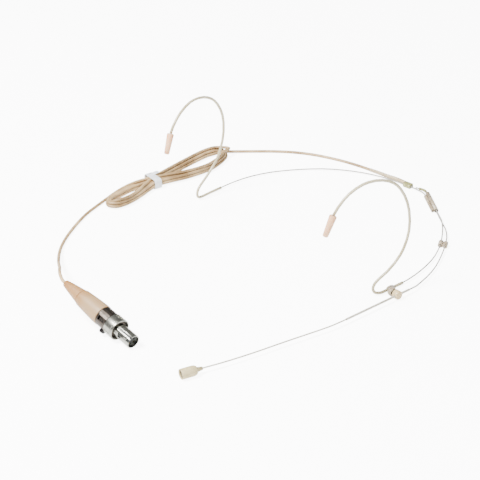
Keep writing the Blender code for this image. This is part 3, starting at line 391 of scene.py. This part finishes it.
# Each step of the tail, as how far it goes away from the strap and how far it rises.
TAIL_STEPS = ((0.8, 0.35), (0.9, 0.3), (1.1, 0.1), (1.2, -0.1))
TAIL_PLACE = Matrix.Translation(Vector((-2.4, 0.6, 2.95)) * MM)
bpy.ops.mesh.primitive_plane_add(size=MM)
tail = bpy.context.object
tail.name = "tie_tail"
tail.scale = TAIL_SIZE
bpy.ops.object.transform_apply(scale=True)
bpy.ops.object.mode_set(mode="EDIT")
bpy.ops.mesh.select_mode(type="EDGE")
for away, rise in TAIL_STEPS:
    bpy.ops.mesh.select_all(action="DESELECT")
    bpy.ops.object.mode_set(mode="OBJECT")
    furthest = max(vertex.co.y for vertex in tail.data.vertices)
    for vertex in tail.data.vertices:
        vertex.select = vertex.co.y > furthest - 0.01 * MM
    for edge in tail.data.edges:
        edge.select = all(tail.data.vertices[number].select for number in edge.vertices)
    bpy.ops.object.mode_set(mode="EDIT")
    bpy.ops.mesh.extrude_region_move(
        TRANSFORM_OT_translate={"value": (TAIL_SIDEWAYS * MM, away * MM, rise * MM)}
    )
bpy.ops.object.mode_set(mode="OBJECT")
wall = tail.modifiers.new("strip", "SOLIDIFY")
wall.thickness = TAIL_WALL * MM
wall.offset = 1
tail.modifiers.new("curve", "SUBSURF").levels = 2
tail.modifiers["curve"].render_levels = 2
finish_shape(tail, TIE_TURN @ TAIL_PLACE)
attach(tie, "right_frame")
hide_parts("cord_tie")
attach(tail, "right_frame")

# %% [markdown]
# ## The ribbed strain relief
# Where the cord meets the nape clip a soft moulded sleeve keeps it from kinking. It is plain
# beside the clip and ribbed further on, so that it bends more easily towards the cord. Its
# radius rises and falls along a smooth path, which a curve with a radius at each point does.

# %% Ribbed relief
RELIEF = [(-10.5, 111.45, 1.4), (-16.5, 111.4, 1.4), (-24.5, 110.4, 1.35), (-32.0, 109.7, 1.25)]
RELIEF_STEP = 0.28
RELIEF_R, RELIEF_TAPER = 1.33, 0.27
RIB_PITCH, RIB_DEPTH, PLAIN, RIBS_START = 2.2, 0.16, 9.0, 2
relief_path = even(smooth([*RELIEF, RELIEF_END]), RELIEF_STEP)
radii = []
for number, point in enumerate(relief_path):
    gone = RELIEF_STEP * number
    share = number / (len(relief_path) - 1)
    ribbed = min(1.0, max(0.0, (gone - PLAIN) / RIBS_START))
    groove = (0.5 - 0.5 * cos(2 * pi * gone / RIB_PITCH)) ** 3
    radii.append(RELIEF_R - RELIEF_TAPER * share - RIB_DEPTH * ribbed * groove)
relief = round_curve("ribbed_relief", relief_path, 1.0, radii=radii)
print("relief ribs:", round((run_of(relief_path) - PLAIN) / RIB_PITCH))
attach(relief, "right_frame")
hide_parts("cord_relief")

# %% [markdown]
# ## Round pieces, turned from a circle
# A lathe part is drawn as a circle that is extruded along its axis and scaled at each step of
# its outline. The outline of a hollow part comes back to its start, and the two ends are merged.
# A solid part is capped at both ends instead. The plug's own frame has its axis from the cord
# towards the nose.

# %% Lathe helper and the plug's frame
PLUG_LEVEL = Vector((-0.04711, 0.99889, 0.0))
PLUG_UP = PLUG_WAY.cross(PLUG_LEVEL).normalized()
LATHE_MERGE = 0.004
PLUG = (
    Matrix.Translation(PLUG_REAR * MM)
    @ Matrix((PLUG_LEVEL, PLUG_UP, PLUG_WAY)).transposed().to_4x4()
)


def turned(name, outline, sides=64, capped=False):
    """A piece of revolution round Z, from (radius, height) steps in millimetres."""
    only()
    radius, height = outline[0]
    bpy.ops.mesh.primitive_circle_add(vertices=sides, radius=radius * MM)
    made = bpy.context.object
    made.name = name
    bpy.ops.object.mode_set(mode="EDIT")
    bpy.ops.mesh.select_mode(type="EDGE")
    bpy.ops.mesh.select_all(action="SELECT")
    bpy.ops.transform.translate(value=(0, 0, height * MM))
    for (before, low), (after, high) in zip(outline, outline[1:]):
        step = (0, 0, (high - low) * MM)
        bpy.ops.mesh.extrude_region_move(TRANSFORM_OT_translate={"value": step})
        factor = after / before
        bpy.ops.transform.resize(
            value=(factor, factor, 1), center_override=(0, 0, high * MM)
        )
    bpy.ops.mesh.select_all(action="SELECT")
    bpy.ops.mesh.remove_doubles(threshold=LATHE_MERGE * MM)
    if capped:
        bpy.ops.mesh.fill_holes(sides=0)
    bpy.ops.mesh.select_all(action="SELECT")
    bpy.ops.mesh.normals_make_consistent(inside=False)
    bpy.ops.object.mode_set(mode="OBJECT")
    return made

# %% [markdown]
# ## The plug's boot
# The cone and the handle are soft moulded rubber. The cone stops just short of the handle, so
# a narrow groove shows between them. Both bulge very slightly, as moulded rubber does.

# %% Cone and handle
cone = turned("boot_cone", [
    (1.0, 0.0), (1.45, 0.0), (1.75, 0.15), (1.9, 0.5), (2.45, 3.4), (2.95, 6.4), (3.4, 9.2),
    (3.75, 11.4), (4.0, 12.8), (4.05, 13.2), (3.9, 13.4), (1.0, 13.4), (1.0, 0.0),
])
finish_shape(cone, PLUG)
handle = turned("boot_handle", [
    (2.2, 13.7), (3.95, 13.7), (4.3, 13.85), (4.45, 14.2), (4.62, 16.2), (4.95, 20.0),
    (5.25, 24.5), (5.42, 28.0), (5.48, 30.3), (5.4, 30.75), (5.2, 30.9), (4.7, 30.9),
    (3.9, 15.0), (2.2, 15.0), (2.2, 13.7),
])
finish_shape(handle, PLUG)
for piece, node in ((cone, "plug_strain_cone"), (handle, "plug_handle")):
    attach(piece, "right_frame")
    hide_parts(node)

# %% [markdown]
# ## The coupling ring
# The ring is turned in one piece: a rounded rear edge, a knurled grip, and a raised front lip
# with a groove behind it. The grip's ribs are cut only on two sides, and the rest is left
# plain. The grooves between the ribs are every other face there, inset and pushed inwards.

# %% Coupling ring
RING_SIDES = 80
GRIP_START, GRIP_END, GRIP_R = 38.4, 42.5, 5.5
GROOVE_MARGIN, GROOVE_DEPTH = 0.04, 0.26
ring = turned("coupling_ring", [
    (4.87, 37.8), (5.3, 37.8), (5.6, 37.98), (5.68, 38.3), (5.68, 42.6), (5.5, 42.75),
    (5.5, 42.95), (5.7, 43.1), (5.7, 43.7), (5.55, 43.95), (5.25, 44.0), (5.05, 43.85),
    (5.0, 43.2), (4.87, 43.2), (4.87, 37.8),
], sides=RING_SIDES)


def on_grip(face):
    """Every other face of the grip, from 175 to 255 degrees and from -5 to 75 degrees."""
    along, out = face.center.z, face.center.xy.length
    if not (GRIP_START * MM < along < GRIP_END * MM and out > GRIP_R * MM):
        return False
    angle = Vector((1, 0)).angle_signed(face.center.xy) * -180 / pi % 360
    ribbed = 175 < angle < 255 or -5 < (angle + 5) % 360 - 5 < 75
    return ribbed and int(angle / (360 / RING_SIDES)) % 2 == 0


edit_faces(ring, on_grip)
bpy.ops.mesh.inset(
    thickness=GROOVE_MARGIN * MM, depth=-GROOVE_DEPTH * MM, use_individual=True
)
bpy.ops.object.mode_set(mode="OBJECT")
finish_shape(ring, PLUG, angle=25)
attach(ring, "right_frame")
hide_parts("plug_ring")

# %% [markdown]
# ## The latch button
# A black moulded button stands out of the body behind the ring. It is a short post with a
# domed top, turned like the ring and set across the plug's axis.

# %% Latch button
BUTTON_ANGLE, BUTTON_AT = 227.0, 35.65
TO_X = Matrix(((0, 0, 1), (1, 0, 0), (0, 1, 0))).to_4x4()
button = turned("latch_button_cap", [
    (1.6, 3.2), (1.6, 6.2), (1.52, 6.55), (1.3, 6.85), (0.9, 7.03), (0.4, 7.1),
], sides=40, capped=True)
BUTTON = PLUG @ Matrix.Rotation(radians(BUTTON_ANGLE), 4, "Z")
finish_shape(button, BUTTON @ Matrix.Translation((0, 0, BUTTON_AT * MM)) @ TO_X)
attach(button, "latch")
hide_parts("latch_button")

# %% [markdown]
# ## Smooth copies of the turned and drawn pieces
# The frame's solids are made of loose triangles, each flat, so a tube shows as a row of flat
# strips. Such a piece is copied, the copy's doubled points are merged, and its soft edges are
# smoothed. The copy takes the solid's place, with the same shape. Each piece has its own
# angle, in degrees, past which an edge stays sharp.

# %% Smooth copies
SMOOTH = {
    "left_wire": 40, "right_wire": 40, "left_ear_sleeve": 40, "right_ear_sleeve": 40,
    "left_ear_tip": 50, "right_ear_tip": 50, "adjuster_sleeve": 35, "nape_clip": 30,
    "nape_sleeve": 40, "cable_clip": 35, "boom_clip": 45, "boom_knob": 35, "boom_tube": 40,
    "boom_thin_tube": 40, "capsule_housing": 35, "capsule_grille": 35, "plug_body": 25,
    "plug_nose": 25, "plug_insert": 30, "boom_cable_front": 50, "boom_cable_rear": 50,
    "pivot_pin": 35, "friction_washer": 35, "plug_inner_sleeve": 35, "electret_capsule": 35,
    "cable_clamp": 35,
}
COPY_MERGE = 0.002
smooth_pieces = {}
for name, angle in SMOOTH.items():
    piece = bpy.data.objects.new(name + "_smooth", nodes[name].data.copy())
    bpy.context.scene.collection.objects.link(piece)
    piece.data.materials.clear()
    only(piece)
    bpy.ops.object.mode_set(mode="EDIT")
    bpy.ops.mesh.select_all(action="SELECT")
    bpy.ops.mesh.remove_doubles(threshold=COPY_MERGE * MM)
    bpy.ops.object.mode_set(mode="OBJECT")
    bpy.ops.object.shade_smooth_by_angle(angle=radians(angle))
    smooth_pieces[name] = piece
print("smooth copies:", len(smooth_pieces))

# %% [markdown]
# ## The lead crosses two joints
# The thin lead slides with the left half at one end and stays with the right half at the other,
# and near the boom it turns with the boom. Its two lengths are left where they lie, with their
# place baked into their points, and every other copy rides on the body of the solid that it
# stands for.

# %% Riding, and the lead left where it lies
BLENDS = {
    "boom_cable_rear": (
        "right_frame", "left_frame", (0.0072, 0.1105, 0.0013), (0.0256, 0.0983, 0.0013)
    ),
    "boom_cable_front": (
        "left_frame", "boom_holder", (0.0745, 0.043, 0.0014), (0.0796, 0.0252, 0.0026)
    ),
}
for name, piece in smooth_pieces.items():
    if name in BLENDS:
        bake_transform(piece)
    else:
        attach(piece, nodes[name]["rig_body"])
    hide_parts(name)
slot_of = {part["node"]: part["material_slot"] for part in frame["record"]["subparts"]}
print("blended:", sorted(BLENDS))

# %% [markdown]
# ## Finishes
# Every finish starts the same way: a material with a Principled shader, and Object
# coordinates in metres, which stay with the piece. Patterns are sized from real millimetres,
# so a noise's scale is one over its grain. Two helpers set up what nearly all finishes here
# share, and each finish then has its own colours, its own grain and its own extra detail.

# %% How a finish starts
def start_finish(name, roughness, **sockets):
    """A new material: its tree, its Principled shader and its Object coordinates."""
    made = bpy.data.materials.new(name)
    made.use_nodes = True
    shader = made.node_tree.nodes["Principled BSDF"]
    shader.inputs["Roughness"].default_value = roughness
    for socket, value in sockets.items():
        shader.inputs[socket.replace("_", " ")].default_value = value
    place = add_node(made.node_tree, "ShaderNodeTexCoord").outputs["Object"]
    return made, made.node_tree, shader, place


def mottled(tree, shader, place, light, dark, patch_mm, grain_mm, relief_mm, bump=0.3):
    """Colour that drifts between two tones in patches, and a fine moulded or drawn grain."""
    patches = add_node(
        tree, "ShaderNodeTexNoise", {"Scale": 1 / (patch_mm * MM), "Detail": 3.0},
        {"Vector": place},
    )
    tones = add_node(tree, "ShaderNodeValToRGB", links={"Fac": patches.outputs["Fac"]})
    tones.color_ramp.elements[0].position = 0.32
    tones.color_ramp.elements[0].color = linear(dark)
    tones.color_ramp.elements[1].position = 0.68
    tones.color_ramp.elements[1].color = linear(light)
    grain = add_node(
        tree, "ShaderNodeTexNoise", {"Scale": 1 / (grain_mm * MM), "Detail": 2.0},
        {"Vector": place},
    )
    surface = add_node(
        tree, "ShaderNodeBump", {"Strength": bump, "Distance": relief_mm * MM},
        {"Height": grain.outputs["Fac"]},
    )
    tree.links.new(tones.outputs["Color"], shader.inputs["Base Color"])
    tree.links.new(surface.outputs["Normal"], shader.inputs["Normal"])
    return tones, grain, surface


finishes = {}
GRAIN = 0.25
print("grain of moulded plastic in mm:", GRAIN)

# %% [markdown]
# ## Soft vinyl of the cord, the relief and the sleeves
# The cord's jacket is extruded vinyl, matt from a little dust, with a soft glow because light
# goes a little way in. The sleeves over the hooks are heat-shrunk tube, thinner and shinier.
# The relief is moulded in a paler tone of the cord's colour. The thin lead is grey vinyl.

# %% Cord, relief and sleeves
made, tree, shader, place = start_finish("extruded_vinyl_cord", 0.46, IOR=1.53)
mottled(tree, shader, place, "#C9AC80", "#8C6F47", 11.0, 0.5, 0.02)
shader.inputs["Subsurface Weight"].default_value = 0.12
shader.inputs["Subsurface Radius"].default_value = (0.0012, 0.0007, 0.0004)
shader.inputs["Subsurface Scale"].default_value = 1.0
finishes["cord"] = made

made, tree, shader, place = start_finish("moulded_vinyl_relief", 0.42, IOR=1.5)
mottled(tree, shader, place, "#CDBA98", "#AE9873", 5.0, 0.4, 0.02)
finishes["relief"] = made

made, tree, shader, place = start_finish(
    "heat_shrunk_sleeve", 0.3, IOR=1.5, Coat_Weight=0.25, Coat_Roughness=0.12
)
mottled(tree, shader, place, "#CBC0A0", "#B3A681", 9.0, 0.4, 0.02)
finishes["sleeve"] = made

made, tree, shader, place = start_finish("grey_vinyl_lead", 0.4, IOR=1.5)
mottled(tree, shader, place, "#A9A49B", "#8F8A80", 7.0, 0.3, 0.01)
finishes["lead"] = made
print("vinyl finishes:", sorted(finishes))

# %% [markdown]
# ## Silicone ear tips
# The tips are cast silicone: flesh coloured and satin, and light goes a little way in, so
# their shaded side turns a warm peach. A very light velvet sheen stands for the dust that
# silicone picks up.

# %% Ear tips
made, tree, shader, place = start_finish("cast_silicone", 0.5, IOR=1.42)
mottled(tree, shader, place, "#EDBE94", "#E0A578", 4.0, 0.35, 0.02)
shader.inputs["Subsurface Weight"].default_value = 0.25
shader.inputs["Subsurface Radius"].default_value = (0.0015, 0.0008, 0.0005)
shader.inputs["Subsurface Scale"].default_value = 1.0
shader.inputs["Sheen Weight"].default_value = 0.15
shader.inputs["Sheen Roughness"].default_value = 0.5
finishes["ear_tip"] = made
print("soft finishes:", sorted(finishes))

# %% [markdown]
# ## Moulded plastics
# The slider and the clips are translucent nylon, so they look greyish and a little waxy. The
# nape's clip and sleeve are clear vinyl that has yellowed. The boom knob is cream acetal, the
# capsule is painted plastic, and the tie is a glossy white strip. The latch button is black
# acetal, and the insert in the plug's nose is a very dark green. Each one has the shallow
# orange peel of its mould.

# %% Moulded pieces
made, tree, shader, place = start_finish("translucent_nylon", 0.35, IOR=1.53)
mottled(tree, shader, place, "#B7A88F", "#8C7A60", 2.6, GRAIN, 0.03)
shader.inputs["Subsurface Weight"].default_value = 0.3
shader.inputs["Subsurface Radius"].default_value = (0.0012, 0.001, 0.0007)
shader.inputs["Subsurface Scale"].default_value = 1.0
finishes["clip"] = made

made, tree, shader, place = start_finish(
    "clear_yellowed_vinyl", 0.22, IOR=1.5, Transmission_Weight=0.45
)
mottled(tree, shader, place, "#CFCB8E", "#A9A56A", 1.8, GRAIN, 0.02)
finishes["clear_sleeve"] = made

made, tree, shader, place = start_finish(
    "cream_acetal", 0.34, IOR=1.48, Coat_Weight=0.15, Coat_Roughness=0.15
)
mottled(tree, shader, place, "#E3CB9B", "#D3B881", 2.4, GRAIN, 0.02)
finishes["knob"] = made

made, tree, shader, place = start_finish("painted_capsule", 0.48, IOR=1.5)
mottled(tree, shader, place, "#D6C697", "#BDAC7B", 3.2, 0.3, 0.03, 0.45)
finishes["capsule"] = made

made, tree, shader, place = start_finish(
    "glossy_white_strip", 0.2, IOR=1.5, Coat_Weight=0.3, Coat_Roughness=0.08
)
mottled(tree, shader, place, "#F4F6FA", "#E0E4EA", 3.0, 1.2, 0.1)
finishes["tie"] = made

made, tree, shader, place = start_finish("black_acetal", 0.22, IOR=1.48)
mottled(tree, shader, place, "#1B1817", "#100E0D", 1.5, GRAIN, 0.02)
finishes["black_plastic"] = made
made, tree, shader, place = start_finish("dark_green_insert", 0.35, IOR=1.5)
mottled(tree, shader, place, "#141A15", "#0E120F", 1.5, GRAIN, 0.02)
finishes["insert"] = made
print("finishes with the plastics:", len(finishes))

# %% [markdown]
# ## Rubber boot
# The cone and the handle are flesh-coloured rubber, and the cone is a little more orange. Both
# are paler towards the metal: a gradient runs along the plug's axis, which a dot product with
# the Object coordinates finds.

# %% Boot finishes
PATCH_SHARE = 0.25


def along_plug(tree, place, start_mm, end_mm):
    """How far along the plug's axis a point lies, from 0 to 1 between two distances."""
    axis = add_node(
        tree, "ShaderNodeVectorMath", {1: tuple(PLUG_WAY)}, {0: place}, operation="DOT_PRODUCT"
    )
    origin = PLUG_REAR.dot(PLUG_WAY)
    span = add_node(
        tree, "ShaderNodeMapRange",
        {"From Min": (origin + start_mm) * MM, "From Max": (origin + end_mm) * MM},
        {"Value": axis.outputs["Value"]},
    )
    return span.outputs["Result"]


def rubber(name, slot, rear, front, start_mm, end_mm):
    """A rubber that drifts in patches, and from its rear tone to its front tone."""
    made, tree, shader, place = start_finish(name, 0.5, IOR=1.5)
    tones = mottled(tree, shader, place, front, rear, 4.0, 0.3, 0.03, 0.35)[0]
    share = along_plug(tree, place, start_mm, end_mm)
    patches = tones.inputs["Fac"].links[0].from_socket
    mixed = add_node(
        tree, "ShaderNodeMath", {1: PATCH_SHARE}, {0: patches, 2: share},
        operation="MULTIPLY_ADD",
    )
    tree.links.new(mixed.outputs["Value"], tones.inputs["Fac"])
    shader.inputs["Subsurface Weight"].default_value = 0.15
    shader.inputs["Subsurface Radius"].default_value = (0.0015, 0.0009, 0.0005)
    shader.inputs["Subsurface Scale"].default_value = 1.0
    finishes[slot] = made


rubber("orange_tan_rubber", "boot_cone", "#9C6D3A", "#A37A4C", 0.0, 13.4)
rubber("beige_rubber", "boot_handle", "#9E774A", "#A5865F", 13.7, 27.0)
print("finishes with the rubbers:", len(finishes))

# %% [markdown]
# ## Metals
# The plug's body, ring and nose are nickel plated: the body in a dark, warm nickel, the
# others bright. Plating shows the fine rings of the lathe tool, drawn here as a noise that is
# stretched round the axis, and it is duller in tiny spots, so the roughness drifts too. The
# contacts have a flash of gold, and the capsule inside has a tinned can.

# %% Plated metals
PLUG_SPAN, LATHE_MARK = 60.0, 0.18


def metal(name, slot, light, dark, smoothness, roughness_span):
    """A metal whose colour drifts in patches and whose roughness follows its fine grain."""
    made, tree, shader, place = start_finish(name, smoothness, Metallic=1.0)
    grain, surface = mottled(tree, shader, place, light, dark, 2.2, 0.12, 0.01, 0.2)[1:]
    span = add_node(
        tree, "ShaderNodeMapRange",
        {"To Min": smoothness, "To Max": smoothness + roughness_span},
        {"Value": grain.outputs["Fac"]},
    )
    tree.links.new(span.outputs["Result"], shader.inputs["Roughness"])
    finishes[slot] = made
    return tree, shader, place, surface


for name, slot, light, dark, smoothness in (
    ("bright_nickel_plate", "nickel", "#B2B2A8", "#92928A", 0.2),
    ("black_nickel_plate", "nickel_dark", "#57504A", "#463F39", 0.3),
):
    tree, shader, place, surface = metal(name, slot, light, dark, smoothness, 0.12)
    depth = along_plug(tree, place, 0.0, PLUG_SPAN)
    marks = add_node(
        tree, "ShaderNodeTexNoise", {"Scale": PLUG_SPAN / LATHE_MARK, "Detail": 1.0},
        {"W": depth}, noise_dimensions="1D",
    )
    rings = add_node(
        tree, "ShaderNodeBump", {"Strength": 0.25, "Distance": 0.01 * MM},
        {"Height": marks.outputs["Fac"], "Normal": surface.outputs["Normal"]},
    )
    tree.links.new(rings.outputs["Normal"], shader.inputs["Normal"])
metal("gold_flash", "gold", "#D9B25C", "#B98F3E", 0.25, 0.1)
metal("tinned_can", "capsule_can", "#B9B9B6", "#98978F", 0.3, 0.15)
print("finishes with the metals:", len(finishes))

# %% [markdown]
# ## Painted boom, the capsule's mesh and its board
# The band's spring wires have a satin grey lacquer, and the boom, a steel tube, has a thin
# flesh-grey paint, so neither shines like bare metal. The capsule's mouth is closed by a punched
# steel sheet: holes half a millimetre apart, from a Voronoi texture without any randomness,
# turned to the capsule's axis. The holes aren't cut. Each one is a dark spot of painted shade
# that stands for the shadow inside the opening. The board behind it is green laminate.

# %% Boom, mesh and board
made, tree, shader, place = start_finish("grey_lacquered_wire", 0.35, IOR=1.5)
mottled(tree, shader, place, "#A9A49B", "#908B82", 6.0, 0.3, 0.01)
finishes["wire"] = made

made, tree, shader, place = start_finish("painted_boom", 0.32, IOR=1.5, Coat_Weight=0.2)
mottled(tree, shader, place, "#CAC4B4", "#B3AC9B", 8.0, 0.3, 0.01)
finishes["boom"] = made

made, tree, shader, place = start_finish("punched_steel_mesh", 0.4, Metallic=0.7)
CAPSULE_TURN, HOLE_PITCH = -12.9, 0.55
turned_place = add_node(
    tree, "ShaderNodeMapping", {"Rotation": (0.0, 0.0, radians(CAPSULE_TURN))},
    {"Vector": place},
)
holes = add_node(
    tree, "ShaderNodeTexVoronoi", {"Scale": 1 / (HOLE_PITCH * MM), "Randomness": 0.0},
    {"Vector": turned_place.outputs["Vector"]},
)
# Each hole is a dark spot of painted shade: the holes aren't cut, and the dark stands for the
# shadow inside them.
painted_shade_holes = add_node(tree, "ShaderNodeValToRGB", links={"Fac": holes.outputs["Distance"]})
painted_shade_holes.color_ramp.elements[0].position = 0.42
painted_shade_holes.color_ramp.elements[0].color = linear("#2A2620")
painted_shade_holes.color_ramp.elements[1].position = 0.5
painted_shade_holes.color_ramp.elements[1].color = linear("#9C9484")
tree.links.new(painted_shade_holes.outputs["Color"], shader.inputs["Base Color"])
finishes["grille"] = made

made, tree, shader, place = start_finish("green_laminate", 0.4, IOR=1.55)
mottled(tree, shader, place, "#2E6B45", "#1F4F31", 1.2, 0.2, 0.02)
finishes["board"] = made
print("all finishes:", len(finishes))

# %% [markdown]
# ## Dressing every piece
# A new piece and a smooth copy take the finish of their slot. A solid that still shows keeps
# its mesh and only gets the finish in its material slot.

# %% Give each piece its finish
new_pieces = {
    "cord": [cord], "relief": [relief], "tie": [tie, tail], "boot_cone": [cone],
    "boot_handle": [handle], "nickel": [ring], "black_plastic": [button],
}
for name, piece in smooth_pieces.items():
    new_pieces.setdefault(slot_of[name], []).append(piece)
for slot_name, found in new_pieces.items():
    for piece in found:
        piece.data.materials.clear()
        piece.data.materials.append(finishes[slot_name])
shown = [name for name in nodes if not nodes[name].hide_render]
for name in shown:
    for holder in nodes[name].material_slots:
        holder.material = finishes[slot_of[name]]
print("solids that still show:", sorted(shown))

# %% [markdown]
# ## Floor and light
# The headset lies on a white sheet that is lit evenly from all round, so that it throws
# almost no shadow. The sheet glows itself, as a lit table does. One soft lamp on the camera's
# left, high up, gives the tubes and the metal their long highlights, and a weaker one on its
# right fills the shadows.

# %% Floor, world and lamps
only()
bpy.ops.mesh.primitive_plane_add(size=6)
floor = bpy.context.object
floor.name = "floor"
made, tree, shader, place = start_finish("white_lit_sheet", 0.95)
mottled(tree, shader, place, "#FFFFFF", "#FBFBFA", 400.0, 0.4, 0.01, 0.02)
shader.inputs["Emission Color"].default_value = (1.0, 1.0, 1.0, 1.0)
# Seen directly, the sheet is bright. The light that it throws on the headset is much less.
GLOW_THROWN, GLOW_SEEN = 0.35, 8.0
direct = add_node(tree, "ShaderNodeLightPath").outputs["Is Camera Ray"]
glow = add_node(
    tree, "ShaderNodeMapRange", {"To Min": GLOW_THROWN, "To Max": GLOW_SEEN},
    {"Value": direct},
)
tree.links.new(glow.outputs["Result"], shader.inputs["Emission Strength"])
floor.data.materials.append(made)
world = bpy.data.worlds.new("soft_studio")
world.use_nodes = True
world.node_tree.nodes["Background"].inputs["Color"].default_value = (1, 1, 1, 1)
world.node_tree.nodes["Background"].inputs["Strength"].default_value = 0.35
bpy.context.scene.world = world
for name, place_at, size, power in (
    ("key", (-0.25, -0.65, 1.1), 0.4, 60), ("fill", (1.0, -0.1, 0.8), 0.8, 10),
):
    lamp = bpy.data.lights.new(name, "AREA")
    lamp.size = size
    lamp.energy = power
    holder = bpy.data.objects.new(name, lamp)
    holder.location = place_at
    holder.rotation_euler = (-Vector(place_at)).to_track_quat("-Z", "Y").to_euler()
    bpy.context.scene.collection.objects.link(holder)
print("floor and lamps:", floor.name, [lamp.name for lamp in bpy.data.lights])

# %% [markdown]
# ## The last update
# The view layer is brought up to date, so that every piece stands in its place.

bpy.context.view_layer.update()
